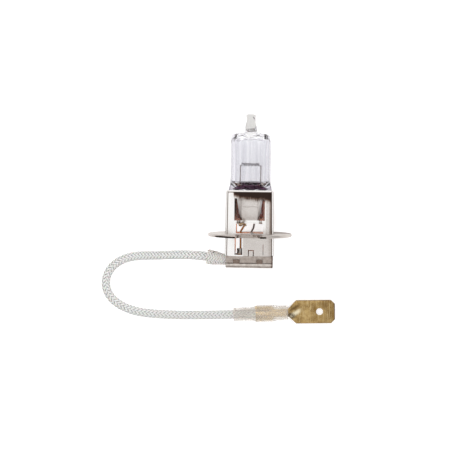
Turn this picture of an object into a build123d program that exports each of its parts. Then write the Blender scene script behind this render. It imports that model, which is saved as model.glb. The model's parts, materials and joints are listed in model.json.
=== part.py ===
from build123d import *
from math import cos, pi, radians, sin, tan
import os

# A single-filament halogen headlamp bulb with a 22 mm flange and a braided lead, lying on its side.
# +Y runs along the lamp's axis from the base to the glass tip, +X to the right, +Z straight up.
# The origin is the centre of the flange's glass-side face, the plane that locates the lamp.

# Lamp axis
light_centre = 18.0             # flange face to filament
crown_y = 26.2                  # top of the glass tube
tip_y = 31.1                    # end of the sealed exhaust tube
glass_r = 5.25
glass_wall = 1.05
foot_top = 13.7                 # where the tube starts to flatten into the pinch
pinch_half = 5.5
pinch_t = 3.2
pinch_bottom = 3.0
embed_gap = 0.02                # room between the glass and what is pinched into it

# Filament
coil_r = 0.41
coil_wire_r = 0.12
coil_turns = 13
coil_len = 4.8
post_r = 0.17
post_x = coil_len / 2 + coil_wire_r + post_r
foil_t = 0.1
foil_w = 2.2
foil_x = 1.9
foil_top = 9.6
foil_bottom = 5.0
pin_r = 0.25
pin_x = 1.1

# Sheet-metal holder
holder_top = 11.3
holder_bottom = -5.65
holder_half = 6.15              # outer half width at the top
holder_splay = 0.2              # extra half width at the bottom
holder_z = 3.6                  # half depth
sheet = 0.5
plate_sheet = 0.45
plate_z = 3.5                   # outer face of the front and rear plates
plate_bottom = -8.2
plate_slot_half = 3.95          # half width of the cut-out that holds the pressed tongue
slot_top = 9.2
slot_bottom = 3.45
bar_bottom = 2.6
sight_bottom = 0.1              # lower edge of the opening just above the flange
tongue_dip = 1.3                # how far the tongue's lower end is pressed in

# Flange
flange_r = 11.0
flange_t = 0.8
notch_w = 6.0
notch_depth = 3.0

# Base shoe
shoe_half = 6.1
shoe_top = -5.85
shoe_seam = -7.65
shoe_bottom = -8.9
shoe_sheet = 0.35
shoe_gap = 0.06

# Lead
lead_r = 1.15
lead_bore = 0.65
conductor_r = 0.6
floor_z = -flange_r
lead_floor = floor_z + lead_r
splice_x = -2.4
splice_top = -4.0
splice_bottom = -5.4
splice_r = 0.95
splice_neck = 0.7               # the upper part, round the pin
lead_y = -7.1                   # height of the lead inside the shoe

# Terminal
tab_w = 6.3
tab_t = 0.8
tab_len = 10.5                  # full-width part of the blade
tab_hole_r = 0.95
tab_drop = 1.2                  # blade's middle plane below the crimp's axis
term_angle = 3.0                # the crimp's direction, from +X towards +Y
tab_angle = 1.6                 # the blade's own direction: the neck is bent a little
term_z = -9.15
term_x = -4.45                  # left end of the clear sleeve
term_y = -22.74
cover_len = 14.8
grip_start = 6.0                # crimp barrels and blade, measured from the sleeve's left end
grip_end = 10.3
crimp_start = 11.2
crimp_end = 14.1
tab_start = 16.95
tab_hole_at = 6.35              # from the start of the full-width part
tab_corner = 1.05

# Route of the lead, from inside the shoe to the crimp: down to the surface, round and back
term_slope = tan(radians(term_angle))
route = [
    (-3.6, lead_y, 0.0),
    (-7.0, -7.05, 0.0),
    (-11.0, -6.25, -0.2),
    (-15.6, -6.0, -1.5),
    (-20.8, -6.25, -4.0),
    (-26.2, -6.75, -6.9),
    (-31.2, -7.0, -9.0),
    (-35.7, -8.3, lead_floor),
    (-38.9, -11.2, lead_floor),
    (-39.9, -15.0, lead_floor),
    (-38.4, -18.7, lead_floor),
    (-35.2, -21.1, lead_floor),
    (-30.7, -22.6, lead_floor),
    (-24.6, -23.1, lead_floor),
    (-18.0, -23.2, lead_floor),
    (-11.4, -23.05, lead_floor + 0.05),
    (-5.2, -22.78, -9.35),
    (0.6, term_y + (0.6 - term_x) * term_slope, term_z),
    (5.2, term_y + (5.2 - term_x) * term_slope, term_z),
]

os.makedirs("parts", exist_ok=True)


def save(piece, label):
    piece.part.label = label
    export_step(piece.part, "parts/" + label + ".step")


def half_width(y):
    """Outer half width of the holder at a height along the lamp."""
    return holder_half + holder_splay * (holder_top - y) / (holder_top - holder_bottom)


def across(y):
    """A plane square to the lamp's axis, with local x along +X and local y along +Z."""
    return Plane(origin=(0, y, 0), x_dir=(1, 0, 0), z_dir=(0, -1, 0))




def corner_radii(points):
    """The largest arc that fits each corner: 0.45 of its shorter run over tan(half the turn)."""
    radii = []
    for before, here, after in zip(points, points[1:], points[2:]):
        run_in = Vector(here) - Vector(before)
        run_out = Vector(after) - Vector(here)
        half_turn = radians(run_in.get_angle(run_out)) / 2
        radii.append(0.45 * min(run_in.length, run_out.length) / tan(half_turn))
    return radii


def terminal(along):
    """A plane square to the terminal's axis: local x across the blade, local y straight up."""
    turn = radians(term_angle)
    spot = (term_x + along * cos(turn), term_y + along * sin(turn), term_z)
    return Plane(origin=spot, x_dir=(sin(turn), -cos(turn), 0), z_dir=(-cos(turn), -sin(turn), 0))


def blade_plane(along):
    """A plane square to the blade, that far along its full-width part."""
    turn = radians(tab_angle)
    start = terminal(tab_start).origin
    spot = start + Vector(cos(turn), sin(turn), 0) * along - Vector(0, 0, tab_drop)
    return Plane(origin=spot, x_dir=(sin(turn), -cos(turn), 0), z_dir=(-cos(turn), -sin(turn), 0))


def disc(path, radius):
    """A disc square to the start of a path."""
    with BuildSketch(Plane(origin=path @ 0, z_dir=path % 0)) as section:
        Circle(radius)
    return section.sketch


def drawn_wire(path, radius):
    """A twelve-sided drawn wire square to the start of a path."""
    with BuildSketch(Plane(origin=path @ 0, z_dir=path % 0)) as section:
        RegularPolygon(radius, 12)
    return section.sketch


# ---- Glass: tube, domed crown, sealed exhaust tip, flared foot and flat pinch ----
with BuildPart() as quartz_envelope:
    with BuildSketch(Plane.XY):
        with BuildLine():
            wall = Polyline((0, foot_top - 0.2), (glass_r, foot_top - 0.2), (glass_r, crown_y - 1.3))
            crown = RadiusArc(wall @ 1, (glass_r - 1.3, crown_y - 0.1), -1.3)
            neck = Line(crown @ 1, (2.2, crown_y))
            root = ThreePointArc(neck @ 1, (1.7, crown_y + 0.35), (1.5, crown_y + 1.2))
            stem = Line(root @ 1, (1.2, crown_y + 3.4))
            rim = Spline(stem @ 1, (1.3, tip_y - 0.8), (1.25, tip_y - 0.2), (0.9, tip_y))
            Polyline(rim @ 1, (0, tip_y), (0, foot_top - 0.2))
        make_face()
    revolve(axis=Axis.Y)
    with BuildSketch(across(foot_top)):
        Circle(glass_r)
    with BuildSketch(across(holder_top)):
        RectangleRounded(2 * pinch_half + 0.3, pinch_t + 0.2, 1.5)
    loft()
    with BuildSketch(across(holder_top)):
        RectangleRounded(2 * pinch_half, pinch_t, 0.6)
    extrude(amount=holder_top - pinch_bottom)
    with BuildSketch(Plane.XY):
        with BuildLine():
            bore_r = glass_r - glass_wall
            floor_line = Line((0, foot_top), (bore_r - 1.6, foot_top))
            heel = RadiusArc(floor_line @ 1, (bore_r, foot_top + 1.6), -1.6)
            side = Line(heel @ 1, (bore_r, crown_y - 2.2))
            inner = RadiusArc(side @ 1, (bore_r - 1.1, crown_y - 1.1), -1.1)
            Polyline(inner @ 1, (0, crown_y - 1.1), (0, foot_top))
        make_face()
    revolve(axis=Axis.Y, mode=Mode.SUBTRACT)
    with BuildSketch(across(foot_top + 0.5)):
        with Locations((-post_x, 0), (post_x, 0)):
            Circle(post_r + embed_gap)
    extrude(amount=foot_top + 0.5 - foil_top, mode=Mode.SUBTRACT)
    with BuildSketch(across(foil_top + embed_gap)):
        with Locations((-foil_x, 0), (foil_x, 0)):
            Rectangle(foil_w + 2 * embed_gap, foil_t + 2 * embed_gap)
    extrude(amount=foil_top - foil_bottom + 2 * embed_gap, mode=Mode.SUBTRACT)
    with BuildSketch(across(foil_bottom)):
        with Locations((-pin_x, 0), (pin_x, 0)):
            Circle(pin_r + embed_gap)
    extrude(amount=foil_bottom - pinch_bottom + 1, mode=Mode.SUBTRACT)
save(quartz_envelope, "quartz_envelope")

# ---- Filament: a transverse coil on two posts, foils that carry the current through the pinch ----
with BuildPart() as filament_coil:
    with BuildLine():
        turns = Helix(
            pitch=coil_len / coil_turns,
            height=coil_len,
            radius=coil_r,
            center=(-coil_len / 2, light_centre, 0),
            direction=(1, 0, 0),
        )
    sweep(drawn_wire(turns, coil_wire_r), path=turns, is_frenet=True)
save(filament_coil, "filament_coil")

for side, side_name in ((-1, "left"), (1, "right")):
    with BuildPart() as post:
        with BuildSketch(across(light_centre - 0.2)):
            with Locations((side * post_x, 0)):
                Circle(post_r)
        extrude(amount=light_centre - 0.2 - foil_top - embed_gap)
    save(post, "support_post_" + side_name)
    with BuildPart() as foil:
        with BuildSketch(across(foil_top)):
            with Locations((side * foil_x, 0)):
                Rectangle(foil_w, foil_t)
        extrude(amount=foil_top - foil_bottom)
    save(foil, "seal_foil_" + side_name)

# ---- Pins below the pinch: the live one to the splice, the other to the rear plate ----
with BuildPart() as live_pin:
    with BuildLine():
        live_path = FilletPolyline(
            (-pin_x, foil_bottom - embed_gap, 0),
            (-pin_x, pinch_bottom - 0.3, 0),
            (splice_x, 0.4, 0),
            (splice_x, splice_top - splice_neck + embed_gap, 0),
            radius=0.8,
        )
    sweep(disc(live_path, pin_r), path=live_path)
save(live_pin, "live_pin")

with BuildPart() as ground_pin:
    with BuildLine():
        ground_path = FilletPolyline(
            (pin_x, foil_bottom - embed_gap, 0),
            (pin_x, pinch_bottom - 0.6, 0),
            (pin_x - 0.2, 1.3, -1.2),
            (pin_x - 0.7, 0.5, -2.77),
            (pin_x - 0.7, -0.9, -2.77),
            radius=0.5,
        )
    sweep(disc(ground_path, pin_r), path=ground_path)
save(ground_pin, "ground_pin")

# ---- Holder: a bracket bent over the pinch, closed by a front and a rear plate ----
with BuildPart() as bracket:
    with BuildSketch(Plane.XY.offset(-holder_z)):
        with BuildLine():
            FilletPolyline(
                (half_width(holder_bottom), holder_bottom),
                (half_width(holder_top), holder_top),
                (-half_width(holder_top), holder_top),
                (-half_width(holder_bottom), holder_bottom),
                radius=0.55,
            )
            inside = half_width(holder_top - sheet) - sheet
            foot = half_width(holder_bottom) - sheet
            Polyline(
                (-half_width(holder_bottom), holder_bottom),
                (-foot, holder_bottom),
                (-inside, holder_top - sheet),
                (inside, holder_top - sheet),
                (foot, holder_bottom),
                (half_width(holder_bottom), holder_bottom),
            )
        make_face()
    extrude(amount=2 * holder_z)
    with BuildSketch(across(holder_top + 0.1)):
        RectangleRounded(2 * (pinch_half + 0.05), pinch_t + 0.1, 0.6)
    extrude(amount=sheet + 0.2, mode=Mode.SUBTRACT)
save(bracket, "outer_bracket")


def plate_outline(z_low):
    """The outline shared by both plates: it fills the bracket and runs down into the shoe."""
    with BuildSketch(Plane.XY.offset(z_low)) as outline:
        with BuildLine():
            top = holder_top - sheet
            Polyline(
                (-half_width(top) + sheet, top),
                (half_width(top) - sheet, top),
                (half_width(holder_bottom) - sheet, holder_bottom),
                (shoe_half - shoe_sheet - 0.1, holder_bottom),
                (shoe_half - shoe_sheet - 0.1, plate_bottom),
                (-shoe_half + shoe_sheet + 0.1, plate_bottom),
                (-shoe_half + shoe_sheet + 0.1, holder_bottom),
                (-half_width(holder_bottom) + sheet, holder_bottom),
                close=True,
            )
        make_face()
    return outline.sketch


def tongue_section(y, face, half):
    """One section of the pressed tongue: a flat face with two flanks that slope inwards."""
    flank = 0.55
    drop = 0.53
    with BuildSketch(across(y)) as section:
        with BuildLine():
            Polyline(
                (-half - flank, face - drop),
                (-half, face),
                (half, face),
                (half + flank, face - drop),
                (half + flank - plate_sheet, face - drop),
                (half - 0.2, face - plate_sheet),
                (-half + 0.2, face - plate_sheet),
                (-half - flank + plate_sheet, face - drop),
                close=True,
            )
        make_face()
    return section.sketch


with BuildPart() as front_plate:
    extrude(plate_outline(plate_z - plate_sheet), amount=plate_sheet)
    with BuildSketch(Plane.XY.offset(plate_z - plate_sheet)):
        with Locations((0, (slot_top + bar_bottom) / 2)):
            Rectangle(2 * plate_slot_half, slot_top - bar_bottom)
        with Locations((0.05, (bar_bottom + sight_bottom) / 2)):
            Rectangle(7.1, bar_bottom - sight_bottom)
        with Locations((-2.8, -3.3)):
            Rectangle(2.0, 4.4)
        with Locations((3.6, -4.1)):
            Rectangle(0.14, 2.8)
        with Locations((0.45, -5.0)):
            Rectangle(1.5, 1.6)
            Rectangle(1.0, 1.15, mode=Mode.SUBTRACT)
        with Locations((0.45, -5.7)):
            Rectangle(1.0, 0.5, mode=Mode.SUBTRACT)
    extrude(amount=plate_sheet, mode=Mode.SUBTRACT)
    tongue_top = tongue_section(slot_top + 0.05, plate_z, 2.85)
    tongue_end = tongue_section(slot_bottom - 0.05, plate_z - tongue_dip, 1.9)
    loft([tongue_top, tongue_end], ruled=True)
    with BuildSketch(across(slot_bottom)):
        with BuildLine():
            low = plate_z - tongue_dip
            Polyline(
                (-plate_slot_half - 0.05, plate_z),
                (-3.3, plate_z),
                (-2.4, low),
                (2.4, low),
                (3.3, plate_z),
                (plate_slot_half + 0.05, plate_z),
                (plate_slot_half + 0.05, plate_z - plate_sheet),
                (3.1, plate_z - plate_sheet),
                (2.2, low - plate_sheet),
                (-2.2, low - plate_sheet),
                (-3.1, plate_z - plate_sheet),
                (-plate_slot_half - 0.05, plate_z - plate_sheet),
                close=True,
            )
        make_face()
    extrude(amount=slot_bottom - bar_bottom)
save(front_plate, "front_plate")

with BuildPart() as rear_plate:
    extrude(plate_outline(-plate_z), amount=plate_sheet)
    with BuildSketch(Plane.XY.offset(-plate_z)):
        with Locations((0.05, (bar_bottom + sight_bottom) / 2)):
            Rectangle(7.1, bar_bottom - sight_bottom)
        with Locations((-2.8, -3.3)):
            Rectangle(2.0, 4.4)
    extrude(amount=plate_sheet, mode=Mode.SUBTRACT)
    pad_face = -pinch_t / 2 - 0.05
    with BuildSketch(Plane.XY.offset(-plate_z + plate_sheet - 0.1)):
        with Locations((0, 6.3)):
            RectangleRounded(7.0, 5.6, 0.8)
    with BuildSketch(Plane.XY.offset(pad_face)):
        with Locations((0, 6.3)):
            RectangleRounded(5.0, 3.6, 0.6)
    loft()
    with BuildSketch(Plane.XY.offset(-plate_z - 0.01)):
        with Locations((0, 6.3)):
            RectangleRounded(6.6, 5.2, 0.8)
    with BuildSketch(Plane.XY.offset(pad_face - plate_sheet)):
        with Locations((0, 6.3)):
            RectangleRounded(4.3, 2.9, 0.5)
    loft(mode=Mode.SUBTRACT)
save(rear_plate, "rear_plate")

# ---- Flange: a disc around the holder, with the notch that sets its angle ----
with BuildPart() as flange:
    with BuildSketch(across(0)):
        Circle(flange_r)
        Rectangle(2 * half_width(-flange_t) + 0.04, 2 * holder_z + 0.04, mode=Mode.SUBTRACT)
        with Locations((0, flange_r)):
            RectangleRounded(notch_w, 2 * notch_depth, 1.2, mode=Mode.SUBTRACT)
    extrude(amount=flange_t)
    rims = flange.edges().filter_by(GeomType.CIRCLE).filter_by(lambda e: e.radius > flange_r - 0.1)
    fillet(rims, radius=0.25)
save(flange, "mounting_flange")

# ---- Base shoe: an upper band with notches and a lower channel whose fingers lock into them ----
fingers = ((-3.3, 1.8), (2.7, 1.6))     # centre and width
finger_top = -6.66
with BuildPart() as shoe_band:
    with BuildSketch(across(shoe_top)):
        with Locations((0, 0)):
            Rectangle(2 * shoe_half, 2 * (plate_z + shoe_sheet))
        with Locations((-shoe_sheet, 0)):
            Rectangle(2 * shoe_half, 2 * plate_z, mode=Mode.SUBTRACT)
    extrude(amount=shoe_top - shoe_seam - shoe_gap)
    for centre, width in fingers:
        with BuildSketch(Plane.XY.offset(plate_z - 0.05)):
            with Locations((centre, (finger_top + shoe_seam) / 2)):
                Rectangle(width + 2 * shoe_gap, finger_top - shoe_seam + 2 * shoe_gap)
        extrude(amount=shoe_sheet + 0.1, mode=Mode.SUBTRACT)
save(shoe_band, "shoe_band")

with BuildPart() as shoe_channel:
    with BuildSketch(Plane.YZ.offset(-shoe_half)):
        with BuildLine():
            side_z = plate_z + shoe_sheet
            lip = shoe_seam - shoe_gap
            FilletPolyline(
                (lip, side_z),
                (shoe_bottom, side_z),
                (shoe_bottom, -side_z),
                (lip, -side_z),
                radius=0.7,
            )
            Line((lip, -side_z), (lip, -plate_z))
            FilletPolyline(
                (lip, -plate_z),
                (shoe_bottom + shoe_sheet, -plate_z),
                (shoe_bottom + shoe_sheet, plate_z),
                (lip, plate_z),
                radius=0.3,
            )
            Line((lip, plate_z), (lip, side_z))
        make_face()
    extrude(amount=2 * shoe_half)
    with BuildSketch(Plane.YZ.offset(shoe_half - shoe_sheet)):
        with Locations(((shoe_bottom + lip) / 2 + 0.1, 0)):
            Rectangle(lip - shoe_bottom - 0.2, 2 * plate_z + 0.1)
    extrude(amount=shoe_sheet)
    for centre, width in fingers:
        with BuildSketch(Plane.XY.offset(plate_z)):
            with Locations((centre, (finger_top + lip) / 2 - 0.1)):
                Rectangle(width, finger_top - lip + 0.2)
        extrude(amount=shoe_sheet)
save(shoe_channel, "shoe_channel")

# ---- Lead: copper core in a braided sleeve, from the splice in the shoe to the crimp ----
radii = corner_radii(route)
print("lead radii", [round(r, 1) for r in radii])
with BuildPart() as lead_sleeve:
    with BuildLine():
        lead_path = FilletPolyline(*route, radius=radii)
    sweep(disc(lead_path, lead_r), path=lead_path)
    sweep(disc(lead_path, lead_bore), path=lead_path, mode=Mode.SUBTRACT)
lead_len = lead_path.length
ring_area = pi * (lead_r**2 - lead_bore**2)
filled = lead_sleeve.part.volume / ring_area / lead_len
print("lead length", round(lead_len, 2), "volume over section times length", round(filled, 4))
save(lead_sleeve, "lead_sleeve")

core_end = crimp_end - 0.15
far_x = term_x + core_end * cos(radians(term_angle))
far_end = (far_x, term_y + (far_x - term_x) * term_slope, term_z)
core_top = splice_top - splice_neck - embed_gap
with BuildPart() as conductor:
    with BuildLine():
        core_points = [(splice_x, core_top, 0), (splice_x, lead_y, 0), *route[1:-1], far_end]
        core_path = FilletPolyline(*core_points, radius=[1.0] + radii)
    sweep(disc(core_path, conductor_r), path=core_path)
save(conductor, "lead_conductor")

with BuildPart() as splice:
    with BuildSketch(across(splice_top)):
        with Locations((splice_x, 0)):
            Circle(splice_r)
            Circle(pin_r + embed_gap, mode=Mode.SUBTRACT)
    extrude(amount=splice_neck)
    with BuildSketch(across(splice_top - splice_neck)):
        with Locations((splice_x, 0)):
            Circle(splice_r)
            Circle(conductor_r + embed_gap, mode=Mode.SUBTRACT)
    extrude(amount=splice_top - splice_neck - splice_bottom)
save(splice, "splice_ferrule")

# ---- Short outer sleeve: grips the lead in the shoe and ends in a frayed, flared mouth ----
sleeve_in = lead_r + 0.05
sleeve_out = lead_r + 0.27
mouth_in = 1.7
mouth_out = 1.95
sleeve_start = -4.2
bend = Vector(*route[1])
mouth_dir = (Vector(*route[2]) - bend).normalized()
flare_at = bend + mouth_dir * 2.1
mouth_at = bend + mouth_dir * 4.1
inner_slope = (route[1][1] - route[0][1]) / (route[1][0] - route[0][0])
sleeve_from = (sleeve_start, route[0][1] + (sleeve_start - route[0][0]) * inner_slope, 0)


def flare(from_r, to_r):
    with BuildSketch(Plane(origin=flare_at, z_dir=mouth_dir)) as root:
        Circle(from_r)
    with BuildSketch(Plane(origin=mouth_at, z_dir=mouth_dir)) as mouth:
        Circle(to_r)
    return [root.sketch, mouth.sketch]


with BuildPart() as outer_sleeve:
    with BuildLine():
        sleeve_path = FilletPolyline(sleeve_from, route[1], flare_at, radius=radii[0] * 0.5)
    sweep(disc(sleeve_path, sleeve_out), path=sleeve_path)
    loft(flare(sleeve_out, mouth_out))
    sweep(disc(sleeve_path, sleeve_in), path=sleeve_path, mode=Mode.SUBTRACT)
    loft(flare(sleeve_in, mouth_in), mode=Mode.SUBTRACT)
save(outer_sleeve, "short_outer_sleeve")

# ---- Terminal: crimp barrels and a 6.3 mm blade, with a clear sleeve over the crimp ----
grip_wall = 0.36
grip_half = 2.0                 # insulation barrel: half width and half height
grip_height = 1.55
crimp_r = 1.05
neck_start = crimp_end + 0.7
with BuildPart() as blade:
    with BuildSketch(terminal(grip_end)):
        Ellipse(grip_half, grip_height)
        Ellipse(grip_half - grip_wall, grip_height - grip_wall, mode=Mode.SUBTRACT)
    extrude(amount=grip_end - grip_start)
    with BuildSketch(terminal(grip_end)):
        Ellipse(grip_half, grip_height)
    with BuildSketch(terminal(crimp_start)):
        Circle(crimp_r)
    loft()
    with BuildSketch(terminal(grip_end)):
        Ellipse(grip_half - grip_wall, grip_height - grip_wall)
    with BuildSketch(terminal(crimp_start)):
        Circle(conductor_r + 0.05)
    loft(mode=Mode.SUBTRACT)
    with BuildSketch(terminal(crimp_end)):
        Circle(crimp_r)
        Circle(conductor_r + 0.05, mode=Mode.SUBTRACT)
    extrude(amount=crimp_end - crimp_start)
    with BuildSketch(terminal(crimp_end)):
        RectangleRounded(2 * crimp_r, 2 * crimp_r, 0.9)
    with BuildSketch(terminal(neck_start)):
        with Locations((0, -0.5)):
            RectangleRounded(2 * crimp_r, 1.1, 0.3)
    loft()
    with BuildSketch(terminal(neck_start)):
        with Locations((0, -0.5)):
            Rectangle(2 * crimp_r, 1.0)
    with BuildSketch(blade_plane(0)):
        Rectangle(tab_w, tab_t)
    loft()
    with BuildSketch(blade_plane(tab_len)):
        Rectangle(tab_w, tab_t)
    extrude(amount=tab_len)
    tip_face = blade.faces().sort_by(Axis.X)[-1]
    chamfer(tip_face.edges().filter_by(Axis.Z), length=tab_corner)
    tip_face = blade.faces().sort_by(Axis.X)[-1]
    chamfer(tip_face.edges().filter_by(Axis.Z, reverse=True), length=0.25)
    with BuildSketch(Plane(origin=blade_plane(tab_hole_at).origin - Vector(0, 0, tab_t), z_dir=(0, 0, 1))):
        Circle(tab_hole_r)
    extrude(amount=2 * tab_t, mode=Mode.SUBTRACT)
save(blade, "blade_terminal")

cover_wall = 0.25
cover_shape = (                 # distance along, half width, half height
    (0.0, 1.85, 1.85),
    (5.0, 1.85, 1.85),
    (6.0, 2.32, 1.85),
    (10.6, 2.32, 1.85),
    (11.8, 2.0, 1.8),
    (cover_len, 1.95, 1.8),
)


def cover_section(along, half, height):
    with BuildSketch(terminal(along)) as section:
        if half == height:
            Circle(half)
        else:
            Ellipse(half, height)
    return section.sketch


with BuildPart() as cover:
    loft([cover_section(along, half, height) for along, half, height in cover_shape], ruled=True)
    hollow = [(along, half - cover_wall, height - cover_wall) for along, half, height in cover_shape]
    loft([cover_section(*station) for station in hollow], ruled=True, mode=Mode.SUBTRACT)
save(cover, "terminal_cover")
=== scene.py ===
import bpy, bmesh, json, math, random
from mathutils import Matrix, Vector, noise

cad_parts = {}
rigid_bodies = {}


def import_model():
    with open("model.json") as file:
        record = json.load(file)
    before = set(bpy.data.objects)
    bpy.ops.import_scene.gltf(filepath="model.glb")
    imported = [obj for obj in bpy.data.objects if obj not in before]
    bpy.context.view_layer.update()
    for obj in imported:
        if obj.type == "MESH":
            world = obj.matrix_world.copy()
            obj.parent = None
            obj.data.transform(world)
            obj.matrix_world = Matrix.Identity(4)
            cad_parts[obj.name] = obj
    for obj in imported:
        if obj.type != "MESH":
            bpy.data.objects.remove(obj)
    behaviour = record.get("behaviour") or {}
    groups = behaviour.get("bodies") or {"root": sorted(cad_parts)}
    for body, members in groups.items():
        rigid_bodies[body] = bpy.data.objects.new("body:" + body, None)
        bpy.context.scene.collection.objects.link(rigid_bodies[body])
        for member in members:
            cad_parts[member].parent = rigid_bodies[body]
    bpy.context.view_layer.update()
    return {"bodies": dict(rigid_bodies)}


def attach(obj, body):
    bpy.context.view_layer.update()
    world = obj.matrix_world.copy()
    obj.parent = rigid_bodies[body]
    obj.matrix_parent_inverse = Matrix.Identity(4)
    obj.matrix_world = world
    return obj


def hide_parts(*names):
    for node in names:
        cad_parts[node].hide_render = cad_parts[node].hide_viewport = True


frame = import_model()
mm = 0.001
bodyName = list(frame["bodies"])[0]
floorZ = -11 * mm
scene = bpy.context.scene


class Link:     # one output socket that can be used in sums
    def __init__(self, book, node, out):
        self.book, self.node, self.out = book, node, out

    def __getitem__(self, name):
        return Link(self.book, self.node, pick(self.node.outputs, name))

    def maths(self, operation, *values):
        return self.book.add("ShaderNodeMath", {"operation": operation}, dict(enumerate(values)))

    def __add__(self, other): return self.maths("ADD", self, other)
    def __radd__(self, other): return self.maths("ADD", other, self)
    def __sub__(self, other): return self.maths("SUBTRACT", self, other)
    def __rsub__(self, other): return self.maths("SUBTRACT", other, self)
    def __mul__(self, other): return self.maths("MULTIPLY", self, other)
    def __rmul__(self, other): return self.maths("MULTIPLY", other, self)
    def __truediv__(self, other): return self.maths("DIVIDE", self, other)
    def __rtruediv__(self, other): return self.maths("DIVIDE", other, self)
    def __mod__(self, other): return self.maths("FLOORED_MODULO", self, other)
    def __rmod__(self, other): return self.maths("FLOORED_MODULO", other, self)
    def __pow__(self, other): return self.maths("POWER", self, other)
    def __rpow__(self, other): return self.maths("POWER", other, self)
    def __abs__(self): return self.maths("ABSOLUTE", self)
    def clamp(self): return self.maths("MINIMUM", self.maths("MAXIMUM", self, 0), 1)
    def sine(self): return self.maths("SINE", self)
    def cosine(self): return self.maths("COSINE", self)

    def ramp(self, low, high):      # smooth step from 0 at low to 1 at high
        return self.book.add("ShaderNodeMapRange", {"interpolation_type": "SMOOTHSTEP"},
                             {"Value": self, "From Min": low, "From Max": high})

    def stops(self, *stops):        # colours at places from 0 to 1
        return self.book.add("ShaderNodeValToRGB", {"stops": stops}, {0: self})


def pick(sockets, key):     # a socket by its place, identifier or name
    if isinstance(key, int):
        return sockets[key]
    for socket in sockets:
        if socket.identifier == key:
            return socket
    return sockets[key]


class NodeBook:     # writes nodes into one tree
    def __init__(self, tree):
        self.tree = tree
        self.tree.nodes.clear()

    def add(self, kind, settings=None, sockets=None):
        node = self.tree.nodes.new(kind)
        for name, value in (settings or {}).items():
            if name == "stops":
                bar = node.color_ramp
                while len(bar.elements) < len(value):
                    bar.elements.new(0.5)
                for element, (place, colour) in zip(bar.elements, value):
                    element.position = place
                    element.color = (*colour, 1)
            else:
                setattr(node, name, value)
        for name, value in (sockets or {}).items():
            socket = pick(node.inputs, name)
            if isinstance(value, Link):
                self.tree.links.new(value.out, socket)
            else:
                socket.default_value = value
        return Link(self, node, node.outputs[0] if node.outputs else None)

    def mix(self, share, first, second, blend="MIX"):
        mixed = self.add("ShaderNodeMix", {"data_type": "RGBA", "blend_type": blend},
                         {"Factor_Float": share, "A_Color": first, "B_Color": second})
        return mixed["Result_Color"]

    def vector(self, operation, *values):
        return self.add("ShaderNodeVectorMath", {"operation": operation}, dict(enumerate(values)))

    def scaled(self, direction, amount):
        return self.add("ShaderNodeVectorMath", {"operation": "SCALE"}, {0: direction, "Scale": amount})

    def noise(self, place, size, detail=3.0, roughness=0.55):      # size in millimetres
        return self.add("ShaderNodeTexNoise", {}, {"Vector": place, "Scale": 1 / (size * mm), "Detail": detail,
                                                   "Roughness": roughness})

    def stored(self, name):     # a piece's own attribute
        return self.add("ShaderNodeAttribute", {"attribute_name": name})["Fac"]

    def squeeze(self, place, sizes, turn=(0, 0, 0)):       # stretches a pattern: sizes are its scales
        return self.add("ShaderNodeMapping", {}, {"Vector": place, "Scale": sizes, "Rotation": turn})

    def bump(self, height, depth, normal=None):      # depth in millimetres for a height of 1
        sockets = {"Height": height, "Distance": depth * mm, "Strength": 1.0}
        if normal is not None:
            sockets["Normal"] = normal
        return self.add("ShaderNodeBump", {}, sockets)


def newMaterial(name):
    material = bpy.data.materials.new(name)
    material.use_nodes = True
    return material, NodeBook(material.node_tree)


def finishMaterial(book, sockets):
    surface = book.add("ShaderNodeBsdfPrincipled", {}, sockets)
    book.add("ShaderNodeOutputMaterial", {}, {"Surface": surface})


def grey(value):
    return (value, value, value, 1)


def objectPlace(book):
    place = book.add("ShaderNodeTexCoord")["Object"]
    apart = book.add("ShaderNodeSeparateXYZ", {}, {0: place})
    return place, apart["X"] / mm, apart["Y"] / mm, apart["Z"] / mm     # the last three in millimetres


camera = {"lens": 89.45217391, "sensor": 36, "yaw": 3.0, "lift": 3.2, "roll": 0.6,
          "place": (10.47 * mm, 17.52 * mm, 299.33 * mm)}


def addCamera():
    yaw, lift, roll = (math.radians(camera[key]) for key in ("yaw", "lift", "roll"))
    back = Vector((math.sin(yaw) * math.cos(lift), math.sin(lift), math.cos(yaw) * math.cos(lift)))
    right = Vector((0, 1, 0)).cross(back).normalized()
    up = back.cross(right)
    turnedRight = right * math.cos(roll) + up * math.sin(roll)
    turnedUp = up * math.cos(roll) - right * math.sin(roll)
    data = bpy.data.cameras.new("camera")
    data.sensor_width, data.lens = camera["sensor"], camera["lens"]
    data.clip_start, data.clip_end = 0.01, 10
    eye = bpy.data.objects.new("camera", data)
    scene.collection.objects.link(eye)
    turned = Matrix((turnedRight, turnedUp, back)).transposed().to_4x4()
    eye.matrix_world = Matrix.Translation(camera["place"]) @ turned
    scene.camera = eye


studio = {"floorHalf": 1.0, "floorShade": 0.80, "floorGlow": 0.52, "skyPower": 0.92,
          "keySize": 0.30, "keyPower": 0.7, "keyPlace": (-0.30, 0.28, 0.42),
          "sky": ((0.0, (0.30, 0.27, 0.27)), (0.05, (0.055, 0.04, 0.035)), (0.30, (0.07, 0.052, 0.046)),
                  (0.42, (0.62, 0.60, 0.60)), (0.55, (1.15, 1.15, 1.16)), (0.80, (1.25, 1.25, 1.25)),
                  (0.95, (1.08, 1.07, 1.06)), (1.0, (1.0, 0.99, 0.975)))}     # by height, from below to above


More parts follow.
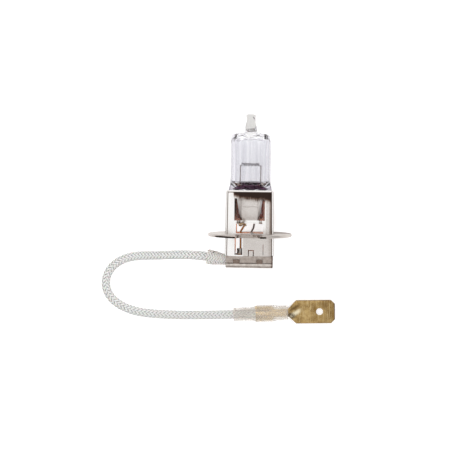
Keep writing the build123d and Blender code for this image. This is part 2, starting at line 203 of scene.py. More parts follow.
def addStudio():
    half = studio["floorHalf"]
    corners = ((-half, -half), (half, -half), (half, half), (-half, half))
    mesh = bpy.data.meshes.new("floor")
    mesh.from_pydata([(x, y, floorZ) for x, y in corners], [], [(0, 1, 2, 3)])
    floor = bpy.data.objects.new("floor", mesh)
    scene.collection.objects.link(floor)
    material, book = newMaterial("paper")
    finishMaterial(book, {"Base Color": grey(studio["floorShade"]), "Roughness": 0.9, "Specular IOR Level": 0.1,
                          "Emission Color": (1, 1, 1, 1), "Emission Strength": studio["floorGlow"]})
    mesh.materials.append(material)
    world = bpy.data.worlds.new("studio")
    scene.world = world
    world.use_nodes = True
    book = NodeBook(world.node_tree)
    aim = book.add("ShaderNodeSeparateXYZ", {}, {0: book.add("ShaderNodeTexCoord")["Generated"]})
    height = aim["Z"]
    sweep = (aim["X"] * 2.3 + aim["Y"] * 1.3 + 0.4).sine().ramp(0.2, 0.95)      # light panels round the object
    shade = book.mix(sweep * 0.55, height.stops(*studio["sky"]), (1.15, 1.15, 1.17, 1))
    passing = book.add("ShaderNodeLightPath")["Is Transmission Ray"]     # softer dark bands behind clear glass
    shade = book.mix(passing * (1 - height.ramp(0.3, 0.5)) * 0.86, shade, (0.80, 0.78, 0.84, 1))
    sky = book.add("ShaderNodeBackground", {}, {"Color": shade, "Strength": studio["skyPower"]})
    book.add("ShaderNodeOutputWorld", {}, {"Surface": sky})
    light = bpy.data.lights.new("softbox", "AREA")
    light.size, light.energy = studio["keySize"], studio["keyPower"]
    lamp = bpy.data.objects.new("softbox", light)
    scene.collection.objects.link(lamp)
    lamp.location = studio["keyPlace"]
    lamp.rotation_euler = (-Vector(studio["keyPlace"])).to_track_quat("-Z", "Y").to_euler()      # aims at the origin
    scene.view_settings.view_transform = "Standard"
    scene.cycles.max_bounces = scene.cycles.transmission_bounces = 24      # clear glass needs long light paths
    scene.cycles.glossy_bounces = 12


addCamera()
addStudio()
print("camera and studio")


def quartzFinish():
    material, book = newMaterial("quartz")
    place, x, y, z = objectPlace(book)
    # stored mask of painted reflection, painted shade and the crack in the tip
    shade = book.stored("haze")
    streak = book.noise(book.squeeze(place, (1.0, 0.04, 1.0)), 1.0, 4)
    tone = book.mix(streak.ramp(0.36, 0.66), (0.755, 0.755, 0.785, 1), (0.895, 0.895, 0.91, 1))
    # painted shade: the tint darkens along the tube's sides, beyond 3.9 mm from the middle
    tone = book.mix(abs(x).ramp(3.9, 4.7) * 0.8, tone, (0.50, 0.49, 0.54, 1))
    tone = book.mix(y.ramp(26.2, 26.8) * 0.85, tone, (0.54, 0.53, 0.51, 1))
    tone = book.mix(shade, tone, (0.30, 0.22, 0.31, 1))
    wave = book.noise(book.squeeze(place, (1.0, 0.12, 1.0)), 1.5, 2)
    clear = book.add("ShaderNodeBsdfPrincipled", {}, {"Base Color": tone, "Roughness": 0.0, "IOR": 1.34,
                                                      "Transmission Weight": 1.0, "Normal": book.bump(wave, 0.05)})
    # an opaque dark violet surface mixed in by the same mask: painted dark reflection on the foot, painted shade on
    # shoulders and flanks, and the dark crack
    shadowMottle = book.noise(book.squeeze(place, (0.35, 1.0, 1.0)), 0.5, 3)
    violet = book.mix(shadowMottle.ramp(0.35, 0.7), (0.020, 0.006, 0.014, 1), (0.13, 0.06, 0.11, 1))
    shadow = book.add("ShaderNodeBsdfPrincipled", {}, {"Base Color": violet, "Roughness": 0.12})
    surface = book.add("ShaderNodeMixShader", {}, {0: (shade ** 1.2) * 0.98, 1: clear, 2: shadow})
    book.add("ShaderNodeOutputMaterial", {}, {"Surface": surface})
    return material


# plated sheet, from clean and bright at 0 to dark at 1: grime, and painted shade and highlight where the masks paint
# them
nickelTones = ((0.0, (0.955, 0.948, 0.94)), (0.16, (0.74, 0.71, 0.685)), (0.34, (0.47, 0.425, 0.395)),
               (0.55, (0.22, 0.175, 0.150)), (0.78, (0.10, 0.058, 0.042)), (1.0, (0.035, 0.022, 0.018)))


def nickelFinish(name="nickel", masks=None, warm=0.0, grime=0.35, rough=0.16, inner=True):
    material, book = newMaterial(name)
    place, x, y, z = objectPlace(book)
    cloud = book.noise(place, 2.6, 5, 0.62)
    blot = book.noise(place, 0.8, 4, 0.65)
    fleck = book.noise(place, 0.22, 3, 0.6)
    brush = book.noise(book.squeeze(place, (0.06, 1.0, 1.0)), 0.10, 4, 0.6)
    tone = fleck.ramp(0.60, 0.80) * cloud.ramp(0.42, 0.62) * grime * 0.5 + cloud.ramp(0.5, 0.8) * 0.08 * grime
    if masks:
        tone = tone + masks(book, x, y, z, blot, fleck)
    colour = tone.clamp().stops(*nickelTones)
    colour = book.mix(warm, colour, (0.74, 0.63, 0.51, 1), "MULTIPLY")
    if inner:       # heat tint on the faces inside the holder
        deep = (1 - abs(x).ramp(5.72, 5.86)) * (1 - abs(z).ramp(3.12, 3.3)) * y.ramp(-5.6, -4.6)
        deep = deep * (1 - y.ramp(10.4, 10.75))
        colour = book.mix((deep * (0.6 + blot * 0.5)).clamp(), colour, (0.80, 0.33, 0.17, 1))
    flank = (abs(x).ramp(1.95, 2.05) * (1 - abs(x).ramp(3.5, 3.6)) * y.ramp(3.3, 3.5) * (1 - y.ramp(9.1, 9.3))
             * (1 - z.ramp(3.42, 3.48)) * z.ramp(2.0, 2.2))      # the tongue's sloping sides scatter more
    rough = (cloud * 0.14 + brush * 0.10 + tone * 0.25 + flank * 0.5 + rough - 0.09).clamp()
    finishMaterial(book, {"Base Color": colour, "Metallic": 1.0, "Roughness": rough,
                          "Normal": book.bump(brush * 0.5 + cloud * 0.9 + blot * 0.4 + fleck * 0.2, 0.03)})
    return material


def frontMasks(book, x, y, z, blot, fleck):     # darker towards the top, satin tongue, dull lower plate; painted highlight on the left column, painted shade on the right column, the tongue's lower slope and the gaps beside the bracket
    flat = book.add("ShaderNodeCombineXYZ", {}, {"X": x * mm, "Y": y * mm, "Z": 0.0})
    slant = book.noise(book.squeeze(flat, (1.0, 0.16, 1.0), (0, 0, math.radians(58))), 0.28, 4, 0.7)
    # darker towards the top, with slanting streaks
    edge = y + x * 0.10 - (blot - 0.5) * 1.0 - (slant - 0.5) * 1.6
    topDarkening = edge.ramp(8.6, 10.3) * x.ramp(-5.3, -4.2) * (0.55 + slant * 0.75)
    topDarkening = topDarkening + edge.ramp(8.0, 9.4) * x.ramp(-4.6, -3.0) * 0.20
    # painted highlight: the left column is kept clean and bright, as a reflection of the bright side
    leftHighlight = 1 - x.ramp(-4.35, -4.0)
    # painted shade on the right column, darkest by the bracket leg, with a fleck mottle
    columnRight = x.ramp(4.0, 4.5) * y.ramp(-0.6, 0.4)
    rightShadeAndMottle = columnRight * (0.16 + fleck.ramp(0.4, 0.7) * 0.14 + x.ramp(4.9, 5.55) * 0.40)
    tongue = (1 - abs(x + 0.1).ramp(2.2, 3.1)) * y.ramp(3.3, 3.7)
    line = (1 - abs(y - 7.0 - (x * 2.1).sine() * 0.05).ramp(0.02, 0.09)) * 0.25 * (1 - abs(x - 0.2).ramp(1.6, 2.2))
    # satin finish on the tongue, with painted shade on its lower slope
    satinAndSlopeShade = tongue * (0.20 + fleck.ramp(0.35, 0.75) * 0.09 + (1 - y.ramp(3.4, 6.0)) * 0.06 + line)
    lower = (1 - y.ramp(-0.4, 0.3)) * x.ramp(-2.0, -1.4)
    # dull lower plate, with painted shade towards the right leg
    dullAndRightShade = lower * (0.19 + fleck.ramp(0.35, 0.7) * 0.09 + x.ramp(4.6, 5.5) * 0.10)
    rest = abs(abs(x) - (5.65 + (11.3 - y) * 0.0118))     # painted shadow line beside the bracket's legs and along the plate's top under the bracket
    seamShadow = (1 - rest.ramp(0.03, 0.16)) * 0.75 + y.ramp(10.55, 10.8) * 0.5
    weldSmoke = (1 - ((x + 2.2) ** 2 + (y - 2.9) ** 2).ramp(0.1, 2.4)) * (0.18 + blot.ramp(0.4, 0.7) * 0.5)
    return (1 - leftHighlight * 0.95) * (topDarkening + rightShadeAndMottle + satinAndSlopeShade + dullAndRightShade) + weldSmoke + seamShadow


def bracketMasks(book, x, y, z, blot, fleck):     # painted shade lines along the front strip's outer edge, its inner edge and the lintel
    out = abs(x) - (6.15 + (11.3 - y) * 0.0118)
    front = z.ramp(3.3, 3.5)
    inner = 1 - abs(out + 0.46).ramp(0.02, 0.08)
    lintel = (1 - abs(y - 10.86).ramp(0.02, 0.08)) * (1 - abs(x).ramp(5.6, 5.7))
    return (out.ramp(-0.10, -0.03) * 0.55 + inner * 0.6 + lintel * 0.6) * front + 0.04 + (1 - front) * 0.08


def flangeMasks(book, x, y, z, blot, fleck):      # painted dark reflections along the lower rim, painted shade on the underside, darker in the notch
    away = (x ** 2 + z ** 2) ** 0.5
    # painted dark reflection bands on the lower half of the rim
    rim = away.ramp(10.55, 10.8) * z.ramp(2.0, 4.0)
    left = x.ramp(-8.9, -8.2) * (1 - x.ramp(-3.7, -3.2))
    right = x.ramp(1.7, 2.1) * (1 - x.ramp(4.2, 4.7))
    low = 1 - y.ramp(-0.42, -0.30)
    notch = (1 - abs(x).ramp(3.2, 3.6)) * z.ramp(7.0, 7.4) * (0.12 + blot.ramp(0.5, 0.68) * 0.42)
    # painted shade on the underside, towards the right
    undersideShade = x.ramp(4.0, 5.5) * (1 - z.ramp(0.0, 1.5)) * 0.26
    return rim * low * (left + right) * (0.80 + blot * 0.35) + notch + undersideShade + 0.27 + blot.ramp(0.5, 0.8) * 0.1


def shoeMasks(book, x, y, z, blot, fleck):       # dull upper band, darker fingers, painted shadow in the seam, painted highlight along the lower lip
    finger1 = (1 - abs(x + 3.3).ramp(0.85, 0.95)) * (1 - abs(y + 7.2).ramp(0.45, 0.55))     # left
    finger2 = (1 - abs(x - 2.7).ramp(0.75, 0.85)) * (1 - abs(y + 7.2).ramp(0.45, 0.55))     # right
    end = x.ramp(5.5, 6.05) * 0.3
    # painted shadow in the seam between the fingers
    seamShadow = (1 - abs(y + 7.62).ramp(0.03, 0.13)) * (1 - finger1) * (1 - finger2) * 0.85
    # painted highlight along the curved lower lip
    lipHighlight = (1 - abs(y + 8.05).ramp(0.12, 0.32)) * 0.16 - y.ramp(-8.75, -8.5) * 0.06 + 0.06
    return 0.33 + blot.ramp(0.35, 0.7) * 0.12 + (finger1 + finger2) * 0.20 + end + seamShadow - lipHighlight


def wireFinish(name, first, second, rough, size=0.4, metal=1.0):
    material, book = newMaterial(name)
    place = book.add("ShaderNodeTexCoord")["Object"]
    cloud = book.noise(place, size, 4, 0.6)
    finishMaterial(book, {"Base Color": book.mix(cloud.ramp(0.3, 0.7), first, second), "Metallic": metal,
                          "Roughness": (cloud * 0.25 + rough).clamp(), "Normal": book.bump(cloud, 0.02)})
    return material


def alongBlade(x, y, degrees):      # distances along and across the terminal from its left end
    x, y, turn = x + 4.45, y + 22.74, math.radians(degrees)
    return x * math.cos(turn) + y * math.sin(turn), y * math.cos(turn) - x * math.sin(turn)


def brassFinish():
    material, book = newMaterial("brass")
    place, x, y, z = objectPlace(book)
    cloud = book.noise(place, 2.2, 5, 0.6)
    fine = book.noise(book.squeeze(place, (1.0, 0.05, 1.0), (0, 0, math.radians(-62))), 0.09, 4, 0.65)
    scratch = book.noise(book.squeeze(place, (1.0, 0.02, 1.0), (0, 0, math.radians(-55))), 0.07, 2, 0.5)
    cross = book.noise(book.squeeze(place, (1.0, 0.02, 1.0), (0, 0, math.radians(24))), 0.09, 2, 0.5)
    tone = book.mix(cloud.ramp(0.34, 0.68), (0.24, 0.14, 0.04, 1), (0.50, 0.345, 0.14, 1))
    tone = book.mix(scratch.ramp(0.56, 0.70) * 0.75 + cross.ramp(0.60, 0.72) * 0.6, tone, (0.90, 0.76, 0.46, 1))
    stain = book.stored("stain")
    tabAlong, tabAcross = alongBlade(x, y, 1.6)
    # painted dark reflections along the blade's long edges and its far end
    rims = abs(tabAcross - 0.4).ramp(2.92, 3.12) * 0.55 + tabAlong.ramp(27.0, 27.38) * 0.75
    sweepShade = tabAlong.ramp(18.5, 27.5) * 0.28
    tone = book.mix(rims + sweepShade, tone, (0.13, 0.065, 0.02, 1))
    barrel = 1 - x.ramp(9.6, 10.4)       # brighter on the barrel, left of x 10 mm
    tone = book.mix(barrel * 0.75, tone, (0.90, 0.70, 0.36, 1))
    tone = book.mix(stain, tone, (0.17, 0.095, 0.035, 1))
    along, across = alongBlade(x, y, 3.0)
    gutter = (1 - abs(across - 0.3).ramp(0.0, 2.4)) * (1 - along.ramp(15.6, 18.2))      # the neck's rolled hollow
    neck = along.ramp(14.6, 15.6) * (1 - along.ramp(17.0, 18.8))
    fold = across - (along - 16) * 0.5
    tone = book.mix(neck * (1 - abs(fold + 0.7).ramp(0.1, 1.0)) * 0.9, tone, (1.0, 0.90, 0.64, 1))      # painted highlight along the neck's fold
    tone = book.mix(neck * (1 - abs(fold - 0.9).ramp(0.0, 0.8)) * 0.8, tone, (0.10, 0.05, 0.015, 1))        # painted shade beside the neck's fold
    first = book.bump(fine * 0.7 + scratch * 0.5 + cloud * 1.2, 0.03)
    finishMaterial(book, {"Base Color": tone, "Metallic": 1.0, "Roughness": (fine * 0.22 + cloud * 0.10 + 0.10).clamp(),
                          "Normal": book.bump(gutter, 0.9, first)})
    return material


def yarnFinish(name, first, second, dirtAndShade):
    material, book = newMaterial(name)
    place = book.add("ShaderNodeTexCoord")["Object"]
    across = book.stored("across")
    cloud = book.noise(place, 3.2, 4, 0.6)
    fluff = book.noise(place, 0.07, 3, 0.7)
    strand = (across * 56.5 + fluff * 4.0).sine() * 0.5 + 0.5
    tone = book.mix(cloud.ramp(0.3, 0.7), first, second)
    # painted shade along each yarn's edges
    rim = ((across * 2 * math.pi).sine() ** 2).ramp(0.55, 1.0)
    dive = book.stored("dive").ramp(0.25, 1.0)       # painted shade where a yarn passes under another
    shade = strand * 0.10 + (1 - fluff.ramp(0.2, 0.6)) * 0.14 + rim * 0.55 + dive * 0.6
    tone = book.mix(shade.clamp(), tone, dirtAndShade)
    finishMaterial(book, {"Base Color": tone, "Roughness": 0.62, "Specular IOR Level": 0.35, "Sheen Weight": 0.25,
                          "Subsurface Weight": 0.12, "Subsurface Scale": 0.0006,
                          "Normal": book.bump(strand * 0.6 + fluff * 0.6, 0.022)})
    return material


def vinylFinish():
    material, book = newMaterial("vinyl")
    place = book.add("ShaderNodeTexCoord")["Object"]
    cloud = book.noise(place, 2.4, 4, 0.6)
    fine = book.noise(book.squeeze(place, (0.12, 1.0, 1.0)), 0.35, 4, 0.6)
    tone = book.mix(cloud.ramp(0.3, 0.7), (0.93, 0.895, 0.845, 1), (0.97, 0.95, 0.915, 1))
    finishMaterial(book, {"Base Color": tone, "Roughness": (cloud * 0.16 + 0.16).clamp(), "IOR": 1.25,
                          "Transmission Weight": 0.80, "Specular IOR Level": 0.6,
                          "Normal": book.bump(cloud + fine * 0.3, 0.02)})
    return material


finishes = {
    "quartz": quartzFinish(),
    "nickel": nickelFinish(),
    "nickelBracket": nickelFinish("nickelBracket", bracketMasks),
    "nickelFront": nickelFinish("nickelFront", frontMasks, rough=0.20, grime=0.2, inner=False),
    "nickelFlange": nickelFinish("nickelFlange", flangeMasks, warm=0.12, grime=0.25, rough=0.30, inner=False),
    "nickelShoe": nickelFinish("nickelShoe", shoeMasks, warm=0.22, grime=0.5, rough=0.24, inner=False),
    "tungsten": wireFinish("tungsten", (0.20, 0.18, 0.19, 1), (0.34, 0.32, 0.325, 1), 0.22, 0.15),
    "molybdenum": wireFinish("molybdenum", (0.42, 0.37, 0.36, 1), (0.60, 0.55, 0.53, 1), 0.28),
    "foil": wireFinish("foil", (0.50, 0.46, 0.45, 1), (0.68, 0.64, 0.62, 1), 0.30),
    "copper": wireFinish("copper", (0.60, 0.24, 0.085, 1), (0.83, 0.43, 0.20, 1), 0.22),
    "tin": wireFinish("tin", (0.42, 0.39, 0.37, 1), (0.66, 0.63, 0.60, 1), 0.26),
    "weld": wireFinish("weld", (0.20, 0.12, 0.075, 1), (0.66, 0.50, 0.33, 1), 0.30, 0.35),
    "brass": brassFinish(),
    "leadYarn": yarnFinish("leadYarn", (0.93, 0.925, 0.905, 1), (0.97, 0.97, 0.955, 1), (0.36, 0.345, 0.32, 1)),
    "outerYarn": yarnFinish("outerYarn", (0.94, 0.91, 0.875, 1), (0.98, 0.96, 0.935, 1), (0.40, 0.33, 0.28, 1)),
    "liner": wireFinish("liner", (0.30, 0.29, 0.27, 1), (0.36, 0.35, 0.33, 1), 0.6, 0.5, 0.0),
    "vinyl": vinylFinish(),
}
print("finishes")


def coat(mesh, finish):
    mesh.materials.clear()
    mesh.materials.append(finishes[finish])


def newObject(name, mesh, finish, slotName, *nodes):
    piece = bpy.data.objects.new(name, mesh)
    scene.collection.objects.link(piece)
    coat(mesh, finish)
    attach(piece, bodyName)
    if nodes:
        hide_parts(*nodes)
    return piece


def meshFrom(name, shape, smooth=True):     # a finished mesh from a bmesh
    mesh = bpy.data.meshes.new(name)
    shape.to_mesh(mesh)
    shape.free()
    if smooth:
        soften(mesh)
    return mesh


def soften(mesh):
    for face in mesh.polygons:
        face.use_smooth = True


def smoothCopy(name, node, finish, slotName, edge):     # a CAD solid with rounded edges
    mesh = bpy.data.objects[node].data.copy()
    mesh.name = name
    shape = bmesh.new()
    shape.from_mesh(mesh)
    bmesh.ops.remove_doubles(shape, verts=shape.verts, dist=0.002 * mm)
    bmesh.ops.dissolve_limit(shape, angle_limit=math.radians(1.0), verts=shape.verts, edges=shape.edges)
    shape.to_mesh(mesh)
    shape.free()
    soften(mesh)
    piece = newObject(name, mesh, finish, slotName, node)
    bevel = piece.modifiers.new("edge", "BEVEL")
    bevel.width, bevel.segments, bevel.limit_method = edge * mm, 3, "ANGLE"
    bevel.angle_limit, bevel.harden_normals = math.radians(28), True
    bevel.use_clamp_overlap = True
    bake(piece)
    return piece


def bake(piece):        # modifiers become plain mesh
    graph = bpy.context.evaluated_depsgraph_get()
    mesh = bpy.data.meshes.new_from_object(piece.evaluated_get(graph), preserve_all_data_layers=True, depsgraph=graph)
    old = piece.data
    piece.modifiers.clear()
    piece.data = mesh
    mesh.name = piece.name
    if old.users == 0:
        bpy.data.meshes.remove(old)


def writeShare(mesh, name, rule):       # stores a rule's value, from 0 to 1, at each point
    values = mesh.attributes.new(name, "FLOAT", "POINT")
    for i, vertex in enumerate(mesh.vertices):
        values.data[i].value = min(1.0, max(0.0, rule(vertex.co / mm)))


def fade(value, low, high):     # smooth step from 0 at low to 1 at high
    t = min(1.0, max(0.0, (value - low) / (high - low)))
    return t * t * (3 - 2 * t)


def splineCurve(name, points):      # smooth line, points in millimetres
    data = bpy.data.curves.new(name, "CURVE")
    data.dimensions, data.resolution_u = "3D", 40
    line = data.splines.new("NURBS")
    line.points.add(len(points) - 1)
    for slot, point in zip(line.points, points):
        slot.co = (*(Vector(point) * mm), 1)
    line.order_u = 3
    line.use_endpoint_u = True
    return data


def curvePoints(data):      # the line's own points, evenly close together, in metres
    carrier = bpy.data.objects.new("carrier", data)
    scene.collection.objects.link(carrier)
    mesh = bpy.data.meshes.new_from_object(carrier.evaluated_get(bpy.context.evaluated_depsgraph_get()))
    points = [vertex.co.copy() for vertex in mesh.vertices]
    bpy.data.objects.remove(carrier)
    bpy.data.meshes.remove(mesh)
    return points


def lengthAlong(points):
    total, lengths = 0.0, [0.0]
    for a, b in zip(points, points[1:]):
        total += (b - a).length
        lengths.append(total)
    return lengths


def pathMesh(name, points):     # a chain of edges for the node trees
    mesh = bpy.data.meshes.new(name)
    mesh.from_pydata([tuple(p) for p in points], [(i, i + 1) for i in range(len(points) - 1)], [])
    return mesh


def grownMesh(name, seedMesh, tree, values, finish, slotName, *nodes):     # runs a node tree once, keeps plain mesh
    piece = bpy.data.objects.new(name, seedMesh)
    scene.collection.objects.link(piece)
    modifier = piece.modifiers.new("grow", "NODES")
    modifier.node_group = tree
    for item in tree.interface.items_tree:
        if item.item_type == "SOCKET" and item.in_out == "INPUT" and item.name in values:
            modifier[item.identifier] = values[item.name]
    bake(piece)
    mesh = piece.data
    bpy.data.objects.remove(piece)
    mesh.name = name
    soften(mesh)
    return newObject(name, mesh, finish, slotName, *nodes)


class GrowTree(NodeBook):       # a geometry node tree with named inputs
    def __init__(self, name, inputs):
        tree = bpy.data.node_groups.new(name, "GeometryNodeTree")
        super().__init__(tree)
        tree.interface.new_socket("Geometry", in_out="INPUT", socket_type="NodeSocketGeometry")
        for label, kind in inputs.items():
            tree.interface.new_socket(label, in_out="INPUT", socket_type="NodeSocket" + kind)
        tree.interface.new_socket("Geometry", in_out="OUTPUT", socket_type="NodeSocketGeometry")
        self.inputs = self.add("NodeGroupInput")

    def finish(self, geometry, materialName):
        real = self.add("GeometryNodeRealizeInstances", {}, {"Geometry": geometry})
        done = self.add("GeometryNodeSetMaterial", {}, {"Geometry": real, "Material": finishes[materialName]})
        self.add("NodeGroupOutput", {}, {"Geometry": done})
        return self.tree


# the lead: a braid over a dark bore
lead = {"radius": 1.13, "linerRadius": 0.86, "carriers": 16, "lay": 8.4, "yarnWidth": 0.58, "yarnThick": 0.24,
        "length": 90.8 * mm,
        "route": [(-3.6, -7.1, 0.0), (-7.0, -7.05, 0.0), (-11.0, -6.25, -0.2), (-15.6, -6.0, -1.5),
                  (-20.8, -6.25, -4.0), (-26.2, -6.75, -6.9), (-31.2, -7.0, -9.0), (-35.7, -8.3, -9.85),
                  (-38.9, -11.2, -9.85), (-39.9, -15.0, -9.85), (-38.4, -18.7, -9.85), (-35.2, -21.1, -9.85),
                  (-30.7, -22.6, -9.85), (-24.6, -23.1, -9.85), (-18.0, -23.2, -9.85), (-11.4, -23.05, -9.80),
                  (-5.2, -22.78, -9.35), (0.6, -22.475, -9.15), (5.2, -22.234, -9.15)]}


def braidTree():        # flat yarns that wind both ways round a line, over two and under two
    book = GrowTree("braid", {"Carriers": "Int", "Lay": "Float", "Radius": "Float", "Width": "Float",
                              "Thick": "Float", "Step": "Float", "Flare": "Float", "FlareStart": "Float",
                              "FlareEnd": "Float", "Ragged": "Float", "Seed": "Int"})
    given = book.inputs
    line = book.add("GeometryNodeMeshToCurve", {}, {"Mesh": given["Geometry"]})
    line = book.add("GeometryNodeResampleCurve", {"mode": "LENGTH"}, {"Curve": line, "Length": given["Step"]})
    level = book.add("GeometryNodeSetCurveNormal", {"mode": "Z_UP"}, {"Curve": line})
    many = book.add("GeometryNodeDuplicateElements", {"domain": "SPLINE"},
                    {"Geometry": level, "Amount": given["Carriers"]})
    number = book.add("GeometryNodeStoreNamedAttribute", {"data_type": "INT", "domain": "CURVE"},
                      {"Geometry": many["Geometry"], "Name": "carrier", "Value": many["Duplicate Index"]})
    mine = book.add("GeometryNodeInputNamedAttribute", {"data_type": "INT"}, {"Name": "carrier"})["Attribute"]
    along = book.add("GeometryNodeSplineParameter")["Length"]
    half = given["Carriers"] / 2
    rank = mine % half
    way = mine.maths("GREATER_THAN", mine, half - 0.5) * 2 - 1       # half of the yarns wind the other way
    turn = 2 * math.pi
    angle = (along / given["Lay"] * way + rank / half) * turn
    # rise and fall: one crossing cycle is four crossings, two over and two under
    crossings = along / given["Lay"] * 2 * half
    wave = ((crossings + (rank * 2 + 0.5) * way) / 4 * turn).sine() * 1.8
    lift = wave.maths("MAXIMUM", -1, wave.maths("MINIMUM", wave, 1))
    loose = book.add("FunctionNodeRandomValue", {"data_type": "FLOAT"},
                     {"Min_001": -1.0, "Max_001": 1.0, "ID": mine, "Seed": given["Seed"]})["Value_001"]
    mouth = along.ramp(given["FlareStart"], given["FlareEnd"])
    out = given["Radius"] + lift * given["Thick"] * 0.62 + mouth * given["Flare"] * (1 + loose * given["Ragged"])
    normal = book.add("GeometryNodeInputNormal")["Normal"]
    tangent = book.add("GeometryNodeInputTangent")["Tangent"]
    side = book.vector("CROSS_PRODUCT", tangent, normal)
    spoke = book.vector("ADD", book.scaled(normal, angle.cosine()), book.scaled(side, angle.sine()))
    sunk = book.add("GeometryNodeStoreNamedAttribute", {"data_type": "FLOAT", "domain": "POINT"},
                    {"Geometry": number, "Name": "dive", "Value": 0.5 - lift * 0.5})
    stored = book.add("GeometryNodeStoreNamedAttribute", {"data_type": "FLOAT_VECTOR", "domain": "POINT"},
                      {"Geometry": sunk, "Name": "spoke", "Value": spoke})
    moved = book.add("GeometryNodeSetPosition", {}, {"Geometry": stored, "Offset": book.scaled(spoke, out)})
    kept = book.add("GeometryNodeInputNamedAttribute", {"data_type": "FLOAT_VECTOR"}, {"Name": "spoke"})["Attribute"]
    faced = book.add("GeometryNodeSetCurveNormal", {"mode": "FREE"}, {"Curve": moved, "Normal": kept})
    cross = book.add("GeometryNodeCurvePrimitiveCircle", {}, {"Resolution": 8, "Radius": 1.0})
    numbered = book.add("GeometryNodeStoreNamedAttribute", {"data_type": "FLOAT", "domain": "POINT"},
                        {"Geometry": cross, "Name": "across", "Value": book.add("GeometryNodeInputIndex") / 8})
    scaleBy = book.add("ShaderNodeCombineXYZ", {}, {"X": given["Thick"] / 2, "Y": given["Width"] / 2, "Z": 1.0})
    place = book.add("GeometryNodeInputPosition")
    flat = book.add("GeometryNodeSetPosition", {}, {"Geometry": numbered,
                                                    "Position": book.vector("MULTIPLY", place, scaleBy)})
    return book, book.add("GeometryNodeCurveToMesh", {}, {"Curve": faced, "Profile Curve": flat, "Fill Caps": True})


def yarnMesh(name, points, finish, slotName, nodes, **values):
    book, yarns = braidTree()
    tree = book.finish(yarns, finish)
    numbers = {"Carriers": values["carriers"], "Lay": values["lay"] * mm, "Radius": values["radius"] * mm,
               "Width": values["width"] * mm, "Thick": values["thick"] * mm, "Step": values["step"] * mm,
               "Flare": values.get("flare", 0.0) * mm, "FlareStart": values.get("flareStart", 1e3) * mm,
               "FlareEnd": values.get("flareEnd", 1.1e3) * mm, "Ragged": values.get("ragged", 0.0),
               "Seed": values.get("seed", 4)}
    return grownMesh(name, pathMesh(name, points), tree, numbers, finish, slotName, *nodes)


def tubeMesh(name, points, radius, sides=28):       # round bar along points
    shape = bmesh.new()
    rings = []
    frameUp = Vector((0, 0, 1))
    for i, point in enumerate(points):
        ahead = (points[min(i + 1, len(points) - 1)] - points[max(i - 1, 0)]).normalized()
        frameUp = (frameUp - ahead * frameUp.dot(ahead)).normalized()
        side = ahead.cross(frameUp)
        ring = []
        for j in range(sides):
            turn = 2 * math.pi * j / sides
            ring.append(shape.verts.new(point + (frameUp * math.cos(turn) + side * math.sin(turn)) * radius))
        rings.append(ring)
    for a, b in zip(rings, rings[1:]):
        for j in range(sides):
            shape.faces.new((a[j], a[(j + 1) % sides], b[(j + 1) % sides], b[j]))
    shape.faces.new(list(reversed(rings[0])))
    shape.faces.new(rings[-1])
    bmesh.ops.recalc_face_normals(shape, faces=shape.faces)
    return meshFrom(name, shape)


leadLine = curvePoints(splineCurve("leadLine", lead["route"]))
print("lead length", round(lengthAlong(leadLine)[-1] / mm, 2))
linerMesh = tubeMesh("lead_liner", leadLine[::6] + [leadLine[-1]], lead["linerRadius"] * mm)
linerPiece = newObject("lead_liner", linerMesh, "liner", "lead_braid")
braidPiece = yarnMesh("lead_braid", leadLine, "leadYarn", "lead_braid", ["lead_sleeve"], carriers=lead["carriers"],
                      lay=lead["lay"], radius=lead["radius"] - 0.15, width=lead["yarnWidth"],
                      thick=lead["yarnThick"], step=0.20)
print("lead", len(braidPiece.data.polygons))


# the short outer sleeve, cut off and frayed at its far end
outerSleeve = {"start": 0.55, "length": 7.0, "flareStart": 2.0, "flareEnd": 6.2, "radius": 1.36, "flare": 0.42,
               "carriers": 20, "lay": 6.4, "yarnWidth": 0.52, "yarnThick": 0.20, "ragged": 0.35, "seed": 11,
               "frayCount": 46, "frayLength": 0.75, "frayThick": (0.022, 0.045), "frayLean": 0.7,
               "frayRise": (-0.35, 0.12)}


def pathPart(points, start, length):        # the stretch of a line from start, in millimetres
    lengths = lengthAlong(points)
    return [p for p, d in zip(points, lengths) if start * mm <= d <= (start + length) * mm]


sleeveLine = pathPart(leadLine, outerSleeve["start"], outerSleeve["length"])
sleevePiece = yarnMesh("short_sleeve_braid", sleeveLine, "outerYarn", "outer_braid", ["short_outer_sleeve"],
                       carriers=outerSleeve["carriers"], lay=outerSleeve["lay"], radius=outerSleeve["radius"] - 0.09,
                       width=outerSleeve["yarnWidth"], thick=outerSleeve["yarnThick"], step=0.16,
                       flare=outerSleeve["flare"], flareStart=outerSleeve["flareStart"],
                       flareEnd=outerSleeve["flareEnd"], ragged=outerSleeve["ragged"], seed=outerSleeve["seed"])


